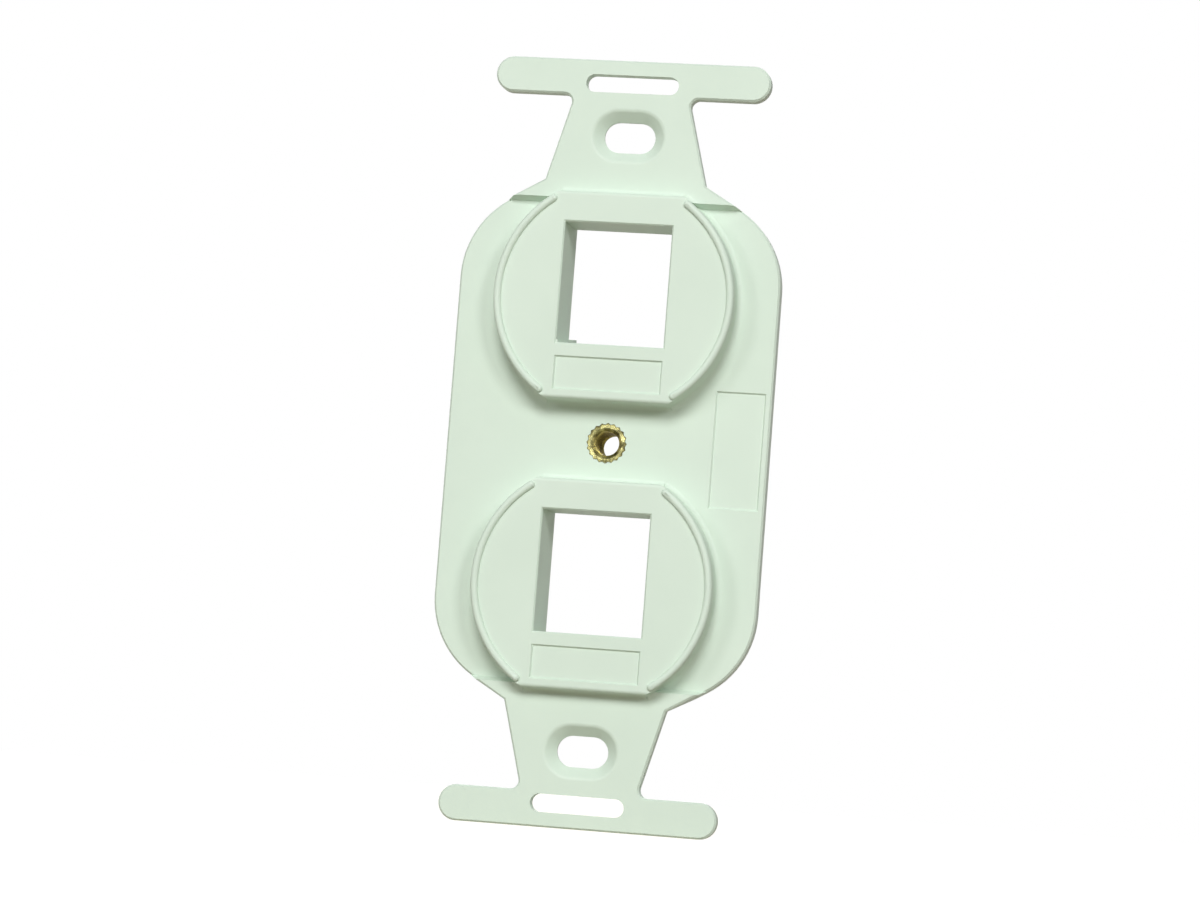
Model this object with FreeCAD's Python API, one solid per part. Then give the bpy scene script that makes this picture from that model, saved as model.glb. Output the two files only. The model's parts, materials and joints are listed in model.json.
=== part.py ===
import FreeCAD, Part
import math
import os

Vec = FreeCAD.Vector

# Sizes in millimetres and degrees. X runs across, Y into the wall and Z up.
# The origin is where the insert's axis meets the front of the main plate.

# main plate
plate_width = 44.0
plate_thick = 2.4
shoulder_round = 12.5      # big round between the plate's side and its shoulder
shoulder_slope = 30.4      # fall of the shoulder from level
edge_bevel = 0.25          # bevelled front edge of the outline

# necks and end bars, which stand proud of the plate at both ends
ear_proud = 1.4
ear_thick = 1.85
step_foot = 32.45          # height where the plate's front meets the step
step_run = 0.55            # height that the sloping step takes
neck_foot = 35.4           # height where the neck leaves the shoulder
neck_end_width = 15.7
neck_taper = 15.0
neck_round = 1.1
bar_rise = 5.53            # box screw's centre to the bar's underside
bar_height = 4.85
bar_length = 37.8
bar_slot_length = 12.75
bar_slot_height = 2.45
bar_slot_rise = 0.39       # bar's underside to the slot

# countersunk slots for the two box screws
box_screw_pitch = 83.34
screw_slot_width = 7.0
screw_slot_height = 4.2
sink_margin = 1.45         # reach of the countersink beyond the slot
sink_depth = 1.4
sink_lip = 0.8             # radius that softens the countersink's rim

# the two raised faces, each a disc with a flat top and bottom
boss_pitch = 38.95
boss_radius = 16.4
boss_flat = 14.1           # centre to either flat
boss_proud = 3.7
boss_skin = 2.0
boss_edge_round = 0.5
skirt_round = 0.8          # hollow round where a raised face meets the plate
bead_width = 1.05          # raised bead along each side of a face
bead_end_gap = 0.6         # from the bead's tip to the nearest flat
bead_bands = 4             # sloping bands from a bead's crest to its foot
side_rib = 1.3             # rib across the hollow behind each side of a face
side_hollow_height = 20.0

# keystone port: the jack is hooked at the top and latched at the bottom
port_width = 14.66
port_rise = 9.9            # centre of the face to the port's top
port_drop = 6.56           # centre of the face to the port's bottom
port_edge = 0.2
well_depth = 9.2           # from the raised face to the well's back rim
well_wall = 1.5
hook_shelf = 7.9           # length of the wall that the fixed hook grips
latch_front = 4.0
latch_recess = 2.9
latch_back = 7.6           # front of the catch, from the raised face
latch_step = 1.0           # drop from the port's bottom to the catch
latch_lead = 0.8
corner_rib_width = 1.1     # tapered rib in the upper port's lower corner, at its back end
corner_rib_height = 1.45
corner_rib_tip = 0.35      # its height at the front end

# label pockets
label_gap = 1.75           # port's bottom to the label pocket's top
label_width = 14.8
label_height = 4.6
label_depth = 0.3
side_label_inner = 14.4
side_label_width = 6.8
side_label_height = 15.9
side_label_depth = 0.25
pocket_slope = 0.2         # how far a pocket's sides lean out to its mouth

# threaded insert and the post that holds it
insert_length = 8.0
knurl_radius = 2.78
knurl_depth = 0.22
knurl_teeth = 20
knurl_groove = 1.4
knurl_groove_depth = 0.35
bore_radius = 1.65
mouth_radius = 2.1
post_wall = 1.6

# stiffening ribs behind the plate
rib_thick = 1.3
frame_rib_depth = 1.6
frame_rib_inset = 2.6      # plate's side to the outer side of the frame rib
frame_rib_height = 46.0
post_rib_depth = 3.1

past = 1.0                 # how far a cutting tool reaches past a face
root = 0.3                 # how far a fused piece reaches into its neighbour
near = 1e-5                # lengths under this count as nothing

bar_foot = box_screw_pitch / 2.0 + bar_rise


# ---------------------------------------------------------------- helpers
def box(x0, x1, y0, y1, z0, z1):
    """Box between opposite corners."""
    return Part.makeBox(x1 - x0, y1 - y0, z1 - z0, Vec(x0, y0, z0))


def face_of(edges):
    """Flat face inside one closed loop of edges."""
    return Part.Face(Part.Wire(edges))


def tapered(*sections):
    """Straight-sided solid through level rectangles, each given as (x0, x1, z0, z1, y)."""
    wires = []
    for x0, x1, z0, z1, y in sections:
        wires.append(Part.makePolygon([Vec(x0, y, z0), Vec(x1, y, z0), Vec(x1, y, z1),
                                       Vec(x0, y, z1), Vec(x0, y, z0)]))
    return Part.makeLoft(wires, True, True)


def rounded_loop(corners, y):
    """Edges of a closed outline in the XZ plane, from (x, z, radius) corners."""
    ins, outs, mids = [], [], []
    count = len(corners)
    for index in range(count):
        x, z, radius = corners[index]
        here = Vec(x, y, z)
        before = Vec(corners[index - 1][0], y, corners[index - 1][1]) - here
        after = Vec(corners[(index + 1) % count][0], y, corners[(index + 1) % count][1]) - here
        before.normalize()
        after.normalize()
        half = before.getAngle(after) / 2.0
        reach = radius / math.tan(half)
        ins.append(here + before * reach)
        outs.append(here + after * reach)
        bisector = before + after
        if radius > 0.0:
            bisector.normalize()
            mids.append(here + bisector * (radius / math.sin(half) - radius))
        else:
            mids.append(None)
    edges = []
    for index in range(count):
        if mids[index] is not None:
            edges.append(Part.Arc(ins[index], mids[index], outs[index]).toShape())
        end = ins[(index + 1) % count]
        if (end - outs[index]).Length > near:
            edges.append(Part.makeLine(outs[index], end))
    return edges


def slot_prism(length, height, z, y0, y1):
    """Slot with full round ends, lying along X at height z."""
    radius = height / 2.0
    span = length / 2.0
    corners = [(span, z - radius, radius), (span, z + radius, radius),
               (-span, z + radius, radius), (-span, z - radius, radius)]
    return face_of(rounded_loop(corners, y0)).extrude(Vec(0, y1 - y0, 0))


def mirrored(shape):
    """Copy on the other side of the level plane through the origin."""
    return shape.mirror(Vec(0, 0, 0), Vec(0, 0, 1))


# ---------------------------------------------------------------- plate, necks and bars
def outline_corners():
    """Right-hand corners of the outline, from the plate's middle up to the bar's top."""
    half_plate = plate_width / 2.0
    half_neck = neck_end_width / 2.0
    foot_x = half_neck + (bar_foot - neck_foot) * math.tan(math.radians(neck_taper))
    shoulder_z = neck_foot - (half_plate - foot_x) * math.tan(math.radians(shoulder_slope))
    bar_end = bar_length / 2.0
    bar_round = bar_height / 2.0
    return [(half_plate, shoulder_z, shoulder_round), (foot_x, neck_foot, 0.0),
            (half_neck, bar_foot, neck_round), (bar_end, bar_foot, bar_round),
            (bar_end, bar_foot + bar_height, bar_round)]


def outline_prism(y0, y1):
    """The whole outline as a prism with a bevelled front edge."""
    upper = outline_corners()
    right = [(x, -z, r) for x, z, r in reversed(upper)] + upper
    left = [(-x, z, r) for x, z, r in reversed(right)]
    prism = face_of(rounded_loop(right + left, y0)).extrude(Vec(0, y1 - y0, 0))
    front = [edge for edge in prism.Edges if edge.BoundBox.YMax < y0 + near]
    return prism.makeChamfer(edge_bevel, front)


def ear_zone(y0, y1):
    """Cutting solid that keeps what lies beyond the upper step."""
    half = plate_width
    top = bar_foot + bar_height + past
    foot = step_foot
    head = step_foot + step_run
    slab_back = ear_thick - ear_proud
    points = [Vec(-half, 0, foot), Vec(-half, -ear_proud, head), Vec(-half, y0, head),
              Vec(-half, y0, top), Vec(-half, y1, top), Vec(-half, y1, head),
              Vec(-half, slab_back, head), Vec(-half, slab_back, foot)]
    face = Part.Face(Part.makePolygon(points + points[:1]))
    return face.extrude(Vec(2 * half, 0, 0))


def plate_zone():
    """Cutting solid that keeps the plate and slopes off its back towards the necks."""
    half = plate_width
    slab_back = ear_thick - ear_proud
    fall = plate_thick - slab_back
    end = neck_foot
    points = [Vec(-half, -past, -step_foot - step_run), Vec(-half, -past, step_foot + step_run),
              Vec(-half, slab_back / 2.0, end), Vec(-half, slab_back, end),
              Vec(-half, plate_thick, end - fall), Vec(-half, plate_thick, fall - end),
              Vec(-half, slab_back, -end), Vec(-half, slab_back / 2.0, -end)]
    face = Part.Face(Part.makePolygon(points + points[:1]))
    return face.extrude(Vec(2 * half, 0, 0))


def slab():
    """Main plate with its two necks and end bars, stepped forward at the shoulders."""
    plate = outline_prism(0.0, plate_thick).common(plate_zone())
    ears = outline_prism(-ear_proud, ear_thick - ear_proud)
    zone = ear_zone(-ear_proud - past, ear_thick)
    upper = ears.common(zone)
    lower = ears.common(mirrored(zone))
    return plate.fuse([upper, lower])


def sunk_slot(z):
    """Countersunk slot for a box screw, with a soft rim."""
    radius = screw_slot_height / 2.0
    rim = radius + sink_margin
    span = screw_slot_width / 2.0 - radius
    front = -ear_proud
    lean = math.atan2(sink_depth, sink_margin)
    reach = sink_lip * math.tan(lean / 2.0)
    centre = Vec(rim + reach, front + sink_lip, 0)
    middle = centre + Vec(-math.sin(lean / 2.0), -math.cos(lean / 2.0), 0) * sink_lip
    start = Vec(rim + reach, front, 0)
    end = Vec(rim - reach * math.cos(lean), front + reach * math.sin(lean), 0)
    back = front + ear_thick + past
    corners = [end, Vec(radius, front + sink_depth, 0), Vec(radius, back, 0), Vec(0, back, 0),
               Vec(0, front - past, 0), Vec(rim + reach, front - past, 0), start]
    edges = [Part.Arc(start, middle, end).toShape()]
    for one, two in zip(corners, corners[1:]):
        edges.append(Part.makeLine(one, two))
    profile = face_of(edges)
    turned = profile.revolve(Vec(0, 0, 0), Vec(0, 1, 0), 360)
    pieces = []
    for side in (-1, 1):
        pieces.append(turned.translated(Vec(side * span, 0, z)))
        upright = profile.rotated(Vec(0, 0, 0), Vec(0, 1, 0), side * 90)
        pieces.append(upright.translated(Vec(-span, 0, z)).extrude(Vec(2 * span, 0, 0)))
    return pieces[0].fuse(pieces[1:])


# ---------------------------------------------------------------- raised faces
def boss_body(centre):
    """Disc with two flats, from its raised face down to the plate's back."""
    disc = Part.makeCylinder(boss_radius, boss_proud + plate_thick,
                             Vec(0, -boss_proud, centre), Vec(0, 1, 0))
    keep = box(-2 * boss_radius, 2 * boss_radius, -boss_proud - past, plate_thick + past,
               centre - boss_flat, centre + boss_flat)
    body = disc.common(keep)
    rims = []
    for edge in body.Edges:
        bounds = edge.BoundBox
        level = bounds.ZMax - bounds.ZMin < near
        if level and bounds.YMax < near - boss_proud:
            rims.append(edge)
    return body.makeFillet(boss_edge_round, rims)


def skirt_profile(radius, y):
    """Section of the hollow round at the foot of a wall that stands at the given radius."""
    middle = skirt_round - skirt_round * math.cos(math.radians(45))
    foot = Vec(radius + skirt_round, y, 0)
    head = Vec(radius, y - skirt_round, 0)
    arc = Part.Arc(foot, Vec(radius + middle, y - middle, 0), head).toShape()
    points = [head, Vec(radius - root, y - skirt_round, 0), Vec(radius - root, y + root, 0),
              Vec(radius + skirt_round, y + root, 0), foot]
    edges = [arc] + [Part.makeLine(a, b) for a, b in zip(points, points[1:])]
    return face_of(edges)


def skirt(centre, y):
    """Hollow round at the foot of a raised face, all the way round it."""
    corner_angle = math.degrees(math.asin(boss_flat / boss_radius))
    half_chord = boss_radius * math.cos(math.radians(corner_angle))
    pieces = []
    ring = skirt_profile(boss_radius, y)
    for side in (0, 180):
        start = ring.rotated(Vec(0, 0, 0), Vec(0, 1, 0), side - corner_angle)
        sweep = start.revolve(Vec(0, 0, 0), Vec(0, 1, 0), 2 * corner_angle)
        pieces.append(sweep.translated(Vec(0, 0, centre)))
    bar = skirt_profile(0.0, y)
    for side in (-1, 1):
        flat = bar.rotated(Vec(0, 0, 0), Vec(0, 1, 0), -side * 90)
        flat = flat.translated(Vec(-half_chord, 0, centre + side * boss_flat))
        pieces.append(flat.extrude(Vec(2 * half_chord, 0, 0)))
    return pieces


def bead_section(first_band):
    """Section of a bead round its own middle, from one of its bands to its outer foot."""
    radius = bead_width / 2.0
    points = []
    for band in range(first_band, bead_bands + 1):
        angle = math.radians(90.0 * band / bead_bands)
        points.append(Vec(radius * math.sin(angle), -radius * math.cos(angle), 0))
    inner = min(points[0].x, 0.0) / 2.0
    points += [Vec(radius / 2.0, root, 0), Vec(inner, root, 0), points[0]]
    return Part.Face(Part.makePolygon(points))


def bead(centre, side):
    """Rounded bead along one side of a raised face, with round ends."""
    radius = bead_width / 2.0
    path = boss_radius - radius
    tip = boss_flat - bead_end_gap - radius
    angle = math.degrees(math.asin(tip / path))
    middle = Vec(path, -boss_proud, 0)
    section = bead_section(-bead_bands).translated(middle)
    start = section.rotated(Vec(0, 0, 0), Vec(0, 1, 0), side - angle)
    sweep = start.revolve(Vec(0, 0, 0), Vec(0, 1, 0), 2 * angle)
    pieces = [sweep.translated(Vec(0, 0, centre))]
    dome = bead_section(0).revolve(Vec(0, 0, 0), Vec(0, 1, 0), 360)
    for turn in (side - angle, side + angle):
        end = dome.rotated(Vec(0, 0, 0), Vec(0, 1, 0), turn)
        spot = FreeCAD.Rotation(Vec(0, 1, 0), turn).multVec(middle)
        pieces.append(end.translated(spot + Vec(0, 0, centre)))
    return pieces


def side_hollows(centre):
    """Hollows behind the two sides of a raised face, each crossed by a rib."""
    inner = boss_radius - boss_skin
    wall = port_width / 2.0 + well_wall
    half_rib = side_rib / 2.0
    half_height = side_hollow_height / 2.0
    front = boss_skin - boss_proud
    core = Part.makeCylinder(inner, plate_thick - front + past, Vec(0, front, centre), Vec(0, 1, 0))
    hollows = []
    for side in (-1, 1):
        for level in (-1, 1):
            xs = sorted((side * wall, side * inner))
            zs = sorted((level * half_rib, level * half_height))
            room = box(xs[0], xs[1], front, plate_thick + past, centre + zs[0], centre + zs[1])
            hollows.append(core.common(room))
    return hollows


# ---------------------------------------------------------------- keystone ports
def well_block(centre):
    """Outer form of the well behind a raised face."""
    half = port_width / 2.0 + well_wall
    return box(-half, half, 0.0, well_depth - boss_proud,
               centre - port_drop - latch_recess - well_wall, centre + port_rise + well_wall)


def port_cuts(centre):
    """Everything taken out of a face and its well for one jack."""
    half = port_width / 2.0
    face = -boss_proud
    back = face + well_depth
    top = centre + port_rise
    bottom = centre - port_drop
    catch = bottom - latch_step
    through = box(-half, half, face - past, back + past, bottom, top)
    behind_hook = box(-half, half, face + hook_shelf, back + past, top, top + well_wall + past)
    recess = box(-half, half, face + latch_front, face + latch_back, bottom - latch_recess, bottom)
    over_catch = box(-half, half, face + latch_back, back + past, catch, bottom)
    lead = Part.Face(Part.makePolygon([
        Vec(-half, back - latch_lead, catch), Vec(-half, back + past, catch),
        Vec(-half, back + past, catch - latch_lead - past), Vec(-half, back - latch_lead, catch)]))
    return [through, behind_hook, recess, over_catch, lead.extrude(Vec(port_width, 0, 0)),
            port_rim(centre)]


def port_rim(centre):
    """Fine bevel round the front of a port."""
    face = -boss_proud
    half = port_width / 2.0
    low = centre - port_drop
    high = centre + port_rise
    grow = 2 * port_edge
    return tapered((-half - grow, half + grow, low - grow, high + grow, face - port_edge),
                   (-half, half, low, high, face + port_edge))


def corner_rib(centre):
    """Rib along the upper port's lower left corner, thicker and higher towards the back."""
    wall = -port_width / 2.0
    bottom = centre - port_drop
    face = -boss_proud
    inside = bottom - latch_step - root
    return tapered((wall - root, wall + port_edge, bottom - root, bottom + corner_rib_tip,
                    face + port_edge),
                   (wall - root, wall + corner_rib_width, inside, bottom + corner_rib_height,
                    face + well_depth))


def sloped_pocket(x0, x1, z0, z1, face, depth):
    """Cutting solid for a shallow pocket in a face, its sides leaning out to the mouth."""
    grow = pocket_slope * (depth + past) / depth
    return tapered((x0 - grow, x1 + grow, z0 - grow, z1 + grow, face - past),
                   (x0, x1, z0, z1, face + depth))


def label_pocket(centre):
    """Shallow pocket for a paper label below a port."""
    top = centre - port_drop - label_gap
    half = label_width / 2.0 - pocket_slope
    return sloped_pocket(-half, half, top - label_height + pocket_slope, top - pocket_slope,
                         -boss_proud, label_depth)


def side_label_pocket():
    """Shallow pocket on the right of the plate, level with the insert."""
    reach = side_label_height / 2.0 - pocket_slope
    inner = side_label_inner + pocket_slope
    return sloped_pocket(inner, side_label_inner + side_label_width - pocket_slope,
                         -reach, reach, 0.0, side_label_depth)


# ---------------------------------------------------------------- insert and its post
def knurl_band(y0, y1):
    """Straight knurl between two depths."""
    points = []
    for tooth in range(knurl_teeth):
        for part, radius in ((0.0, knurl_radius), (0.5, knurl_radius - knurl_depth)):
            angle = math.radians(90) + 2 * math.pi * (tooth + part) / knurl_teeth
            points.append(Vec(radius * math.cos(angle), y0, radius * math.sin(angle)))
    face = Part.Face(Part.makePolygon(points + points[:1]))
    return face.extrude(Vec(0, y1 - y0, 0))


def insert_form():
    """Outer form of the insert, two knurled bands with a plain groove between."""
    first = (insert_length - knurl_groove) / 2.0
    second = first + knurl_groove
    plain = knurl_radius - knurl_depth - knurl_groove_depth
    core = Part.makeCylinder(plain, insert_length, Vec(0, 0, 0), Vec(0, 1, 0))
    return core.fuse([knurl_band(0.0, first), knurl_band(second, insert_length)])


def threaded_insert():
    """Brass insert with a bevelled mouth at both ends of its bore."""
    slope = mouth_radius - bore_radius
    bore = Part.makeCylinder(bore_radius, insert_length + 2 * past, Vec(0, -past, 0), Vec(0, 1, 0))
    front = Part.makeCone(mouth_radius, bore_radius, slope, Vec(0, 0, 0), Vec(0, 1, 0))
    back = Part.makeCone(bore_radius, mouth_radius, slope, Vec(0, insert_length - slope, 0),
                         Vec(0, 1, 0))
    return insert_form().cut([bore, front, back])


def post():
    """Round post behind the plate that the insert is moulded into."""
    return Part.makeCylinder(knurl_radius + post_wall, insert_length - plate_thick + root,
                             Vec(0, plate_thick - root, 0), Vec(0, 1, 0))


def back_ribs():
    """Ribs behind the plate: a frame along the sides and ties from the post to the wells."""
    half = rib_thick / 2.0
    outer = plate_width / 2.0 - frame_rib_inset
    inner = outer - rib_thick
    reach = frame_rib_height / 2.0
    front = plate_thick - root
    frame_back = plate_thick + frame_rib_depth
    post_back = plate_thick + post_rib_depth
    hold = knurl_radius + post_wall / 2.0
    well = boss_pitch / 2.0 - well_wall / 2.0
    ribs = []
    for side in (-1, 1):
        xs = sorted((side * inner, side * outer))
        ribs.append(box(xs[0], xs[1], front, frame_back, -reach, reach))
        xs = sorted((side * hold, side * (inner + half)))
        ribs.append(box(xs[0], xs[1], front, frame_back, -half, half))
        for level in (-1, 1):
            centre = level * boss_pitch / 2.0
            xs = sorted((side * (port_width + well_wall) / 2.0, side * (inner + half)))
            ribs.append(box(xs[0], xs[1], front, frame_back, centre - half, centre + half))
    ribs.append(box(-half, half, front, post_back, hold, well - port_drop - latch_recess))
    ribs.append(box(-half, half, front, post_back, port_rise - well, -hold))
    return ribs


# ---------------------------------------------------------------- mounting frame
def mounting_frame():
    """The one-piece moulded frame."""
    centres = (boss_pitch / 2.0, -boss_pitch / 2.0)
    adds = [post()] + back_ribs()
    cuts = [insert_form(), side_label_pocket()]
    upper_skirts = []
    for centre in centres:
        outward = 1 if centre > 0 else -1
        adds.append(boss_body(centre))
        adds.append(well_block(centre))
        adds += skirt(centre, 0.0)
        zone = ear_zone(-boss_proud - past, ear_thick)
        if outward < 0:
            zone = mirrored(zone)
        for piece in skirt(centre, -ear_proud):
            upper_skirts.append(piece.common(zone))
        for side in (0, 180):
            adds += bead(centre, side)
            cuts += side_hollows(centre) if side == 0 else []
        cuts += port_cuts(centre)
        cuts.append(label_pocket(centre))
    for level in (-1, 1):
        slot = level * (bar_foot + bar_slot_rise + bar_slot_height / 2.0)
        cuts.append(slot_prism(bar_slot_length, bar_slot_height, slot, -ear_proud - past, ear_thick))
        cuts.append(sunk_slot(level * box_screw_pitch / 2.0))
    body = slab().fuse(adds + upper_skirts).cut(cuts)
    body = body.fuse(corner_rib(centres[0]))
    return body.removeSplitter()


def save(name, shape):
    """Write one sub-part and print what it came to."""
    solid = shape.Solids[0] if len(shape.Solids) == 1 else shape
    solid.exportStep("parts/%s.step" % name)
    print(name, "solids", len(shape.Solids), "valid", shape.isValid(), "volume", round(shape.Volume, 1))


os.makedirs("parts", exist_ok=True)
save("mounting_frame", mounting_frame())
save("threaded_insert", threaded_insert())
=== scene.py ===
import json
import math

import bmesh
import bpy
from mathutils import Matrix, Vector


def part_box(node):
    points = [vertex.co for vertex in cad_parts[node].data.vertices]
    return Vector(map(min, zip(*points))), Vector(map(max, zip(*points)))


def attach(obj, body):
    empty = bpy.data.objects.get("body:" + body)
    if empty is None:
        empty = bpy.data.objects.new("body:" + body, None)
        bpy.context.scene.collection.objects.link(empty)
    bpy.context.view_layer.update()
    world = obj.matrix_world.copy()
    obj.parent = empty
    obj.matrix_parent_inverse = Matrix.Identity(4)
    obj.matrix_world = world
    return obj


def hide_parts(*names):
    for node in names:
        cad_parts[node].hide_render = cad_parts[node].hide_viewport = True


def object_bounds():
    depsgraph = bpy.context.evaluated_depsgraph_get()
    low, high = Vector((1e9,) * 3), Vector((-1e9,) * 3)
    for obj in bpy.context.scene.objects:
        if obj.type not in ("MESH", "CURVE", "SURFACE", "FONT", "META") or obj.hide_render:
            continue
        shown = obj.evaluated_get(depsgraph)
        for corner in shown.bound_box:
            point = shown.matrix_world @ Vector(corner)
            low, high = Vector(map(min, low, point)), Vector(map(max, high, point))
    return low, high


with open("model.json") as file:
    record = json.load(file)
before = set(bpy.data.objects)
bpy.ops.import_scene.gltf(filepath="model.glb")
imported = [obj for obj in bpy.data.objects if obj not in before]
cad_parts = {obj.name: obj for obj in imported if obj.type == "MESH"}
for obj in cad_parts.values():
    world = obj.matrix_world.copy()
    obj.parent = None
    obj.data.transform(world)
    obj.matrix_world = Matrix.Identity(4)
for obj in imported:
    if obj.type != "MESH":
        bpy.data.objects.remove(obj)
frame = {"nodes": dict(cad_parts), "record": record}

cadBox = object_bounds()
record = frame["record"]
tau = 2 * math.pi
mm = 0.001
white = (1, 1, 1)


# A new material with an empty tree, and the Surface socket of its output.
def startMaterial(name):
    material = bpy.data.materials.new(name)
    material.use_nodes = True
    tree = material.node_tree
    tree.nodes.clear()
    out = tree.nodes.new("ShaderNodeOutputMaterial")
    return material, tree, out.inputs["Surface"]


# A setting is the node's own property or, where it has none of that name, a socket's value.
def addNode(tree, kind, settings=None, **links):
    node = tree.nodes.new(kind)
    for key, value in (settings or {}).items():
        if hasattr(node, key):
            setattr(node, key, value)
        else:
            node.inputs[key].default_value = value
    for key, socket in links.items():
        tree.links.new(socket, node.inputs[key])
    return node


# Each value is a number, or the socket that it comes from.
def addMath(tree, operation, *values):
    node = addNode(tree, "ShaderNodeMath", {"operation": operation})
    for socket, value in zip(node.inputs, values):
        if isinstance(value, (int, float)):
            socket.default_value = value
        else:
            tree.links.new(value, socket)
    return node.outputs["Value"]


# Spreads a share from 0 to 1 between two limits.
def addSpread(tree, share, limits):
    low, high = limits
    spread = addMath(tree, "MULTIPLY", share, high - low)
    return addMath(tree, "ADD", spread, low)


def addRamp(tree, factor, stops):
    node = addNode(tree, "ShaderNodeValToRGB", Fac=factor)
    ramp = node.color_ramp
    ramp.elements[0].position, ramp.elements[0].color = stops[0][0], (*stops[0][1], 1)
    ramp.elements[1].position, ramp.elements[1].color = stops[-1][0], (*stops[-1][1], 1)
    for place, colour in stops[1:-1]:
        ramp.elements.new(place).color = (*colour, 1)
    return node.outputs["Color"]


# Multiplies one colour by another. The colours of a Mix node are inputs 6 and 7 and output 2.
def addTone(tree, colour, tone):
    node = addNode(tree, "ShaderNodeMix", {"data_type": "RGBA", "blend_type": "MULTIPLY", "Factor": 1.0})
    tree.links.new(colour, node.inputs[6])
    tree.links.new(tone, node.inputs[7])
    return node.outputs[2]


# Picks between two shaders, whose sockets on a Mix Shader share one name.
def addPick(tree, factor, first, second):
    node = addNode(tree, "ShaderNodeMixShader", Fac=factor)
    tree.links.new(first, node.inputs[1])
    tree.links.new(second, node.inputs[2])
    return node.outputs["Shader"]


def addPrincipled(tree, surface, settings, colour, roughness, normal):
    shader = addNode(tree, "ShaderNodeBsdfPrincipled", settings)
    for name, socket in (("Base Color", colour), ("Roughness", roughness), ("Normal", normal)):
        tree.links.new(socket, shader.inputs[name])
    tree.links.new(shader.outputs["BSDF"], surface)


grainNoise = {
    "detail": {"Grain": 3.0, "Drift": 2.0},
    "roughness": 0.55,
}


# Fine grain and slow drift over a surface, shared by the plastic and the brass.
def makeGrainGroup():
    group = bpy.data.node_groups.new("surfaceGrain", "ShaderNodeTree")
    for name, kind, way in (("Position", "NodeSocketVector", "INPUT"),
                            ("Grain Scale", "NodeSocketFloat", "INPUT"),
                            ("Drift Scale", "NodeSocketFloat", "INPUT"),
                            ("Grain", "NodeSocketFloat", "OUTPUT"),
                            ("Drift", "NodeSocketFloat", "OUTPUT")):
        group.interface.new_socket(name=name, in_out=way, socket_type=kind)
    ins = group.nodes.new("NodeGroupInput")
    outs = group.nodes.new("NodeGroupOutput")
    for name, detail in grainNoise["detail"].items():
        noise = addNode(group, "ShaderNodeTexNoise",
                        {"Detail": detail, "Roughness": grainNoise["roughness"]},
                        Vector=ins.outputs["Position"], Scale=ins.outputs[name + " Scale"])
        group.links.new(noise.outputs["Fac"], outs.inputs[name])
    return group


# The grain group in a material's tree, at the scales of that material.
def addGrain(tree, group, place, finish):
    settings = {"node_tree": group,
                "Grain Scale": finish["grainScale"], "Drift Scale": finish["driftScale"]}
    return addNode(tree, "ShaderNodeGroup", settings, Position=place).outputs


plastic = {
    "pale": (0.704, 0.825, 0.715),
    "deep": (0.674, 0.795, 0.685),
    "driftStops": (0.3, 0.7),    # where in the drift the deep and the pale colour are reached
    "roughness": (0.48, 0.58),
    "ior": 1.53,
    "specularLevel": 0.35,
    "grainScale": 3600.0,        # cells per metre, about 0.3 mm each
    "driftScale": 70.0,
    "grainHeight": 0.010 * mm,
    "grainStrength": 0.30,
}


def makePlastic(group):
    material, tree, surface = startMaterial("paleMouldedPlastic")
    place = addNode(tree, "ShaderNodeTexCoord").outputs["Object"]
    grain = addGrain(tree, group, place, plastic)
    colour = addRamp(tree, grain["Drift"], [(plastic["driftStops"][0], plastic["deep"]),
                                            (plastic["driftStops"][1], plastic["pale"])])
    roughness = addSpread(tree, grain["Grain"], plastic["roughness"])
    bump = addNode(tree, "ShaderNodeBump",
                   {"Strength": plastic["grainStrength"], "Distance": plastic["grainHeight"]},
                   Height=grain["Grain"])
    settings = {"IOR": plastic["ior"], "Specular IOR Level": plastic["specularLevel"]}
    addPrincipled(tree, surface, settings, colour, roughness, bump.outputs["Normal"])
    return material


brass = {
    "bright": (0.52, 0.49, 0.22),
    "dull": (0.10, 0.09, 0.035),
    "driftStops": (0.35, 0.65),    # where in the drift the dull and the bright colour are reached
    "grazingTint": (0.50, 0.44, 0.24),
    # painted shade, as shares of the colour that are left in the thread, at the tips of the knurl, and
    # deep in the bore
    "threadPaintedShade": (1.00, 0.92, 0.70),
    "knurlPaintedShade": (0.80, 0.80, 0.85),
    # painted shade deep in the bore, darkest half way along it
    "deepPaintedShade": (0.22, 0.19, 0.13),
    "boreShadeStops": (0.25, 0.90),     # it fades out between these shares of the half length
    "threadRadius": 1.75 * mm,
    "faceRadius": 2.12 * mm,
    "knurlFoot": 2.42 * mm,
    "knurlRadius": 2.62 * mm,
    "shadeReach": 2.72 * mm,       # the radius at the ramp's end
    "roughness": (0.14, 0.30),
    "grainScale": 5200.0,
    "driftScale": 1000.0,
    "turningPitch": 0.09 * mm,     # tool marks round the axis
    "turningHeight": 0.010 * mm,
    "turningStrength": 0.8,
}


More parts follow.
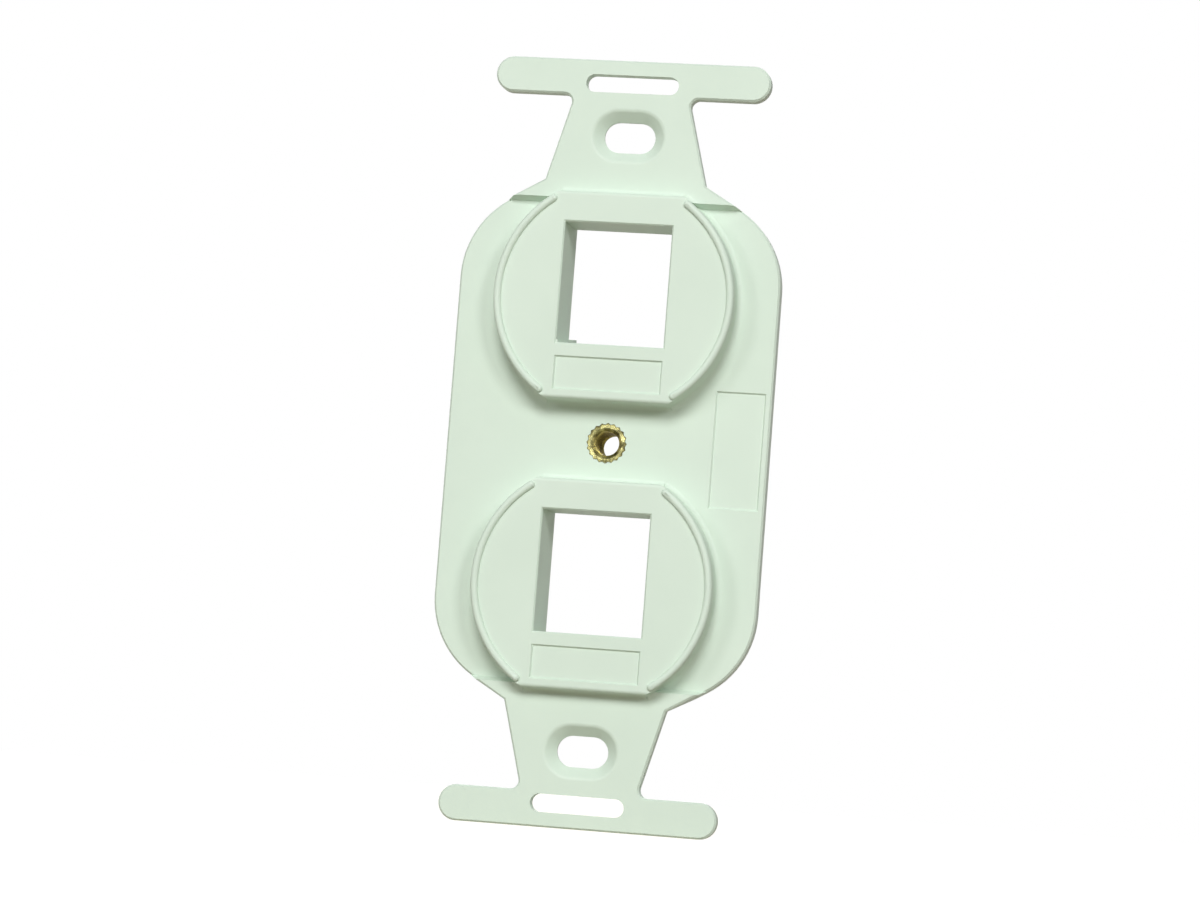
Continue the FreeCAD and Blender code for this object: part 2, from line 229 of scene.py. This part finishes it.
def makeBrass(group):
    material, tree, surface = startMaterial("turnedBrass")
    place = addNode(tree, "ShaderNodeTexCoord").outputs["Object"]
    grain = addGrain(tree, group, place, brass)
    # distance from the insert's axis, which lies along Y
    flat = addNode(tree, "ShaderNodeVectorMath", {"operation": "MULTIPLY"}, Vector=place)
    flat.inputs[1].default_value = (1, 0, 1)
    radius = addNode(tree, "ShaderNodeVectorMath", {"operation": "LENGTH"},
                     Vector=flat.outputs["Vector"]).outputs["Value"]
    rings = addMath(tree, "SINE", addMath(tree, "MULTIPLY", radius, tau / brass["turningPitch"]))
    bump = addNode(tree, "ShaderNodeBump",
                   {"Strength": brass["turningStrength"], "Distance": brass["turningHeight"]},
                   Height=addMath(tree, "ADD", rings, grain["Grain"]))
    colour = addRamp(tree, grain["Drift"], [(brass["driftStops"][0], brass["dull"]),
                                            (brass["driftStops"][1], brass["bright"])])
    # painted shade by radius: the colour is darkened in the thread and at the knurl's tips, where less
    # light falls
    reach = brass["shadeReach"]
    radialPaintedShade = addRamp(tree, addMath(tree, "DIVIDE", radius, reach),
                    [(brass["threadRadius"] / reach, brass["threadPaintedShade"]),
                     (brass["faceRadius"] / reach, white),
                     (brass["knurlFoot"] / reach, white),
                     (brass["knurlRadius"] / reach, brass["knurlPaintedShade"])])
    # share of the half length, from 0 half way along the bore to 1 at its ends, for the painted shade
    # deep in the bore
    low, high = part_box("threaded_insert")
    along = addNode(tree, "ShaderNodeSeparateXYZ", Vector=place).outputs["Y"]
    depth = addMath(tree, "ABSOLUTE", addMath(tree, "SUBTRACT", along, (low.y + high.y) / 2))
    depth = addMath(tree, "DIVIDE", depth, (high.y - low.y) / 2)
    # painted shade: the colour is darker towards the middle of the bore, where little light gets in
    paintedBoreShade = addRamp(tree, depth, [(brass["boreShadeStops"][0], brass["deepPaintedShade"]),
                                  (brass["boreShadeStops"][1], white)])
    for tone in (radialPaintedShade, paintedBoreShade):
        colour = addTone(tree, colour, tone)
    roughness = addSpread(tree, grain["Drift"], brass["roughness"])
    settings = {"Metallic": 1.0, "Specular Tint": (*brass["grazingTint"], 1)}
    addPrincipled(tree, surface, settings, colour, roughness, bump.outputs["Normal"])
    return material


# Smooth shading up to an angle in degrees, one material, and a place in the part.
def finishPiece(name, mesh, material, smoothAngle):
    work = bmesh.new()
    work.from_mesh(mesh)
    for face in work.faces:
        face.smooth = True
    for edge in work.edges:
        edge.smooth = edge.is_manifold and edge.calc_face_angle(0.0) < math.radians(smoothAngle)
    work.to_mesh(mesh)
    work.free()
    piece = bpy.data.objects.new(name, mesh)
    bpy.context.scene.collection.objects.link(piece)
    mesh.materials.append(material)
    weighted = piece.modifiers.new("flatFacesLead", "WEIGHTED_NORMAL")
    weighted.keep_sharp = True
    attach(piece, "root")
    return piece


mouldedFrame = {
    "smoothAngle": 32,
    "mergeDistance": 0.0005 * mm,
}


# The moulded frame keeps the solid's own shape and gets smooth rounds.
def makeFrame(material):
    source = frame["nodes"]["mounting_frame"]
    work = bmesh.new()
    work.from_mesh(source.data)
    bmesh.ops.remove_doubles(work, verts=work.verts, dist=mouldedFrame["mergeDistance"])
    mesh = bpy.data.meshes.new("mouldedFrame")
    work.to_mesh(mesh)
    work.free()
    piece = finishPiece("mouldedFrame", mesh, material, mouldedFrame["smoothAngle"])
    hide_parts("mounting_frame")


insert = {
    "teeth": 20,
    "toothDepth": 0.22 * mm,
    "edgeBevel": 0.08 * mm,      # at both ends of the knurl
    "grooveLength": 1.4 * mm,
    "grooveDepth": 0.35 * mm,
    "mouthRadius": 2.1 * mm,
    "pitch": 25.4 / 32 * mm,     # 32 threads to the inch
    "threadDepth": 0.541,        # this and the two flats are shares of the pitch
    "crestFlat": 0.25,
    "rootFlat": 0.125,
    "threadLead": 0.15 * mm,     # plain length between the bevelled mouth and the thread
    "spareTurns": 3,             # swept beyond the bore and then cut off
    "turnSteps": 40,
    "mergeDistance": 0.0004 * mm,
    "smoothAngle": 28,
}


# The sizes that follow from the solid's box and the thread's mount.
def sizeInsert():
    low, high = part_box("threaded_insert")
    mount = next(item for item in record["mounts"] if item["name"] == "cover_screw_thread")
    crest = mount["dims"]["r_mm"] * mm
    tip = (high.z - low.z) / 2
    root = tip - insert["toothDepth"]
    return {
        "front": low.y,
        "length": high.y - low.y,
        "tip": tip,
        "root": root,
        "groove": root - insert["grooveDepth"],
        "crest": crest,
        "major": crest + insert["threadDepth"] * insert["pitch"],
        "mouthDepth": insert["mouthRadius"] - crest,    # the mouths open at 45 degrees
    }


def setRadius(verts, radiusOf):
    for vert in verts:
        vert.co.x, vert.co.y = vert.co.xy.normalized() * radiusOf(vert)


# Extrudes a ring of edges to a new height, with a radius for each vertex.
def growRing(work, edges, height, radiusOf):
    made = bmesh.ops.extrude_edge_only(work, edges=edges)["geom"]
    verts = [item for item in made if isinstance(item, bmesh.types.BMVert)]
    for vert in verts:
        vert.co.z = height
    setRadius(verts, radiusOf)
    grown = set(verts)
    return [item for item in made if isinstance(item, bmesh.types.BMEdge)
            and grown.issuperset(item.verts)]


# The knurled outside with its groove, and the sloping mouths of the bore.
def growBody(work, size):
    toothStep = tau / (2 * insert["teeth"])
    bevel = insert["edgeBevel"]
    length = size["length"]

    def knurl(vert):
        onTip = round(math.atan2(vert.co.y, vert.co.x) / toothStep) % 2 == 0
        return size["tip"] if onTip else size["root"]

    def bevelledKnurl(vert):
        return knurl(vert) - bevel

    def even(radius):
        return lambda vert: radius

    start = bmesh.ops.create_circle(work, segments=2 * insert["teeth"], radius=size["tip"])["verts"]
    setRadius(start, bevelledKnurl)
    frontEdges = list(work.edges)
    grooveStart = (length - insert["grooveLength"]) / 2
    grooveEnd = grooveStart + insert["grooveLength"]
    groove = even(size["groove"])
    ring = frontEdges
    for height, radiusOf in ((bevel, knurl), (grooveStart, knurl), (grooveStart, groove),
                             (grooveEnd, groove), (grooveEnd, knurl),
                             (length - bevel, knurl), (length, bevelledKnurl)):
        ring = growRing(work, ring, height, radiusOf)
    for edges, rim, foot in ((ring, length, length - size["mouthDepth"]),
                             (frontEdges, 0.0, size["mouthDepth"])):
        mouth = growRing(work, edges, rim, even(insert["mouthRadius"]))
        growRing(work, mouth, foot, even(size["crest"]))


# One pitch of the thread's section, swept up a helix and cut off at the two mouths.
def sweepThread(size):
    pitch = insert["pitch"]
    major, crest = size["major"], size["crest"]
    rootEnd = insert["rootFlat"] / 2
    crestStart = 0.5 - insert["crestFlat"] / 2
    section = ((major, 0.0), (major, rootEnd), (crest, crestStart),
               (crest, 1 - crestStart), (major, 1 - rootEnd), (major, 1.0))
    lead = insert["spareTurns"] / 2
    work = bmesh.new()
    points = [work.verts.new((radius, 0.0, (share - lead) * pitch)) for radius, share in section]
    edges = [work.edges.new(pair) for pair in zip(points, points[1:])]
    turns = math.ceil(size["length"] / pitch) + insert["spareTurns"]
    steps = insert["turnSteps"]
    bmesh.ops.spin(work, geom=points + edges, cent=(0, 0, 0), axis=(0, 0, 1),
                   dvec=(0, 0, pitch / steps), angle=tau * turns, steps=steps * turns)
    bmesh.ops.remove_doubles(work, verts=work.verts, dist=insert["mergeDistance"])
    land = size["mouthDepth"] + insert["threadLead"]
    for height, clearBelow in ((land, True), (size["length"] - land, False)):
        bmesh.ops.bisect_plane(work, geom=work.verts[:] + work.edges[:] + work.faces[:],
                               plane_co=(0, 0, height), plane_no=(0, 0, 1),
                               clear_inner=clearBelow, clear_outer=not clearBelow)
    mesh = bpy.data.meshes.new("threadSweep")
    work.to_mesh(mesh)
    work.free()
    return mesh


# The insert is turned round local Z, from its front at 0, and then laid along Y.
def makeInsert(material):
    size = sizeInsert()
    work = bmesh.new()
    growBody(work, size)
    thread = sweepThread(size)
    work.from_mesh(thread)
    bpy.data.meshes.remove(thread)
    # a bridge at each end joins the thread to the foot of the mouth
    rims = [edge for edge in work.edges if edge.is_boundary]
    for atBack in (False, True):
        chosen = [edge for edge in rims if (edge.verts[0].co.z > size["length"] / 2) == atBack]
        bmesh.ops.bridge_loops(work, edges=chosen)
    bmesh.ops.remove_doubles(work, verts=work.verts, dist=insert["mergeDistance"])
    bmesh.ops.recalc_face_normals(work, faces=work.faces)
    # local Z goes to +Y, local Y to -Z
    laid = Matrix.Translation((0, size["front"], 0)) @ Matrix.Rotation(-tau / 4, 4, "X")
    bmesh.ops.transform(work, verts=work.verts, matrix=laid)
    openEdges = sum(1 for edge in work.edges if not edge.is_manifold)
    print("brass insert:", len(work.faces), "faces,", openEdges, "open edges")
    mesh = bpy.data.meshes.new("brassInsert")
    work.to_mesh(mesh)
    work.free()
    piece = finishPiece("brassInsert", mesh, material, insert["smoothAngle"])
    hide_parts("threaded_insert")


studio = {
    "lampDistance": 2.4,   # metres, as are the widths of the lamps and the floor
    # each lamp's direction as seen from the part, its width and its power in watts
    "lamps": {"key": ((0.05, -1.0, 0.62), 0.95, 35.4),
              "side": ((0.68, -1.0, 0.48), 0.60, 14.0),
              "fill": ((-0.75, -1.0, 0.36), 0.60, 8.4),
              "back": ((-0.30, 1.0, 0.35), 1.20, 22.0)},
    "ambient": 0.03,
    "floorSpan": 1.8,      # a wider floor would show its far edge behind the part
    "floorColour": (0.42, 0.365, 0.275),
    "floorLift": 0.90,     # a little under white, so that the part's shadow shows
}


def makeLamp(name, direction, size, power):
    lamp = bpy.data.lights.new(name, "AREA")
    lamp.shape = "DISK"
    lamp.size = size
    lamp.energy = power
    holder = bpy.data.objects.new(name, lamp)
    bpy.context.scene.collection.objects.link(holder)
    toward = Vector(direction).normalized()
    holder.location = toward * studio["lampDistance"]
    holder.rotation_euler = (-toward).to_track_quat("-Z", "Y").to_euler()


# 1 for rays that show the backdrop: straight to the eye, in a reflection or through glass.
def addSeenMask(tree):
    path = addNode(tree, "ShaderNodeLightPath")
    seen = addMath(tree, "MAXIMUM", path.outputs["Is Camera Ray"], path.outputs["Is Glossy Ray"])
    return addMath(tree, "MAXIMUM", seen, path.outputs["Is Transmission Ray"])


# White for the eye and for reflections, and a soft plain light for everything else.
def makeWorld():
    world = bpy.data.worlds.new("paleStudio")
    bpy.context.scene.world = world
    world.use_nodes = True
    tree = world.node_tree
    tree.nodes.clear()
    soft = addNode(tree, "ShaderNodeBackground", {"Color": (*white, 1), "Strength": studio["ambient"]})
    plain = addNode(tree, "ShaderNodeBackground", {"Color": (*white, 1), "Strength": 1.0})
    backdrop = addPick(tree, addSeenMask(tree), soft.outputs["Background"], plain.outputs["Background"])
    out = addNode(tree, "ShaderNodeOutputWorld")
    tree.links.new(backdrop, out.inputs["Surface"])


# The floor takes the part's shadow from above and can't be seen from below.
def makeFloor(height):
    material, tree, surface = startMaterial("paleFloor")
    diffuse = addNode(tree, "ShaderNodeBsdfDiffuse", {"Color": (*studio["floorColour"], 1)})
    lift = addMath(tree, "MULTIPLY", addSeenMask(tree), studio["floorLift"])
    glow = addNode(tree, "ShaderNodeEmission", Strength=lift)
    both = addNode(tree, "ShaderNodeAddShader")
    tree.links.new(diffuse.outputs["BSDF"], both.inputs[0])
    tree.links.new(glow.outputs["Emission"], both.inputs[1])
    clear = addNode(tree, "ShaderNodeBsdfTransparent")
    under = addNode(tree, "ShaderNodeNewGeometry").outputs["Backfacing"]
    tree.links.new(addPick(tree, under, both.outputs["Shader"], clear.outputs["BSDF"]), surface)
    work = bmesh.new()
    bmesh.ops.create_grid(work, x_segments=1, y_segments=1, size=studio["floorSpan"] / 2)
    bmesh.ops.translate(work, verts=work.verts, vec=(0, 0, height))
    mesh = bpy.data.meshes.new("floor")
    work.to_mesh(mesh)
    work.free()
    mesh.materials.append(material)
    floor = bpy.data.objects.new("floor", mesh)
    bpy.context.scene.collection.objects.link(floor)


camera = {
    "aim": (-0.82 * mm, 0.0, -0.97 * mm),
    "distance": 518.7 * mm,
    "azimuth": 10.26,      # degrees, from the part's front towards +X
    "elevation": -4.88,    # degrees, so the camera looks up a little
    "roll": 4.438,
    "lens": 115.38,        # millimetres, as for the sensor
    "sensor": 36.0,
    "clip": (0.01, 50.0),  # metres
}


def makeCamera():
    turn, rise = math.radians(camera["azimuth"]), math.radians(camera["elevation"])
    back = Vector((math.sin(turn) * math.cos(rise), -math.cos(turn) * math.cos(rise), math.sin(rise)))
    right = Vector((0, 0, 1)).cross(back).normalized()
    up = back.cross(right)
    roll = math.radians(camera["roll"])
    side = right * math.cos(roll) + up * math.sin(roll)
    head = up * math.cos(roll) - right * math.sin(roll)
    data = bpy.data.cameras.new("camera")
    data.lens = camera["lens"]
    data.sensor_width = camera["sensor"]
    data.clip_start, data.clip_end = camera["clip"]
    holder = bpy.data.objects.new("camera", data)
    bpy.context.scene.collection.objects.link(holder)
    turned = Matrix((side, head, back)).transposed().to_4x4()
    holder.matrix_world = Matrix.Translation(Vector(camera["aim"]) + back * camera["distance"]) @ turned
    bpy.context.scene.camera = holder


grainGroup = makeGrainGroup()
makeFrame(makePlastic(grainGroup))
print("moulded frame done")
makeInsert(makeBrass(grainGroup))
print("brass insert done")
for lampName, (direction, width, power) in studio["lamps"].items():
    makeLamp(lampName + "Lamp", direction, width, power)
makeWorld()
makeFloor(cadBox[0].z)
makeCamera()
print("studio and camera done")

bpy.context.scene.view_settings.view_transform = "Standard"
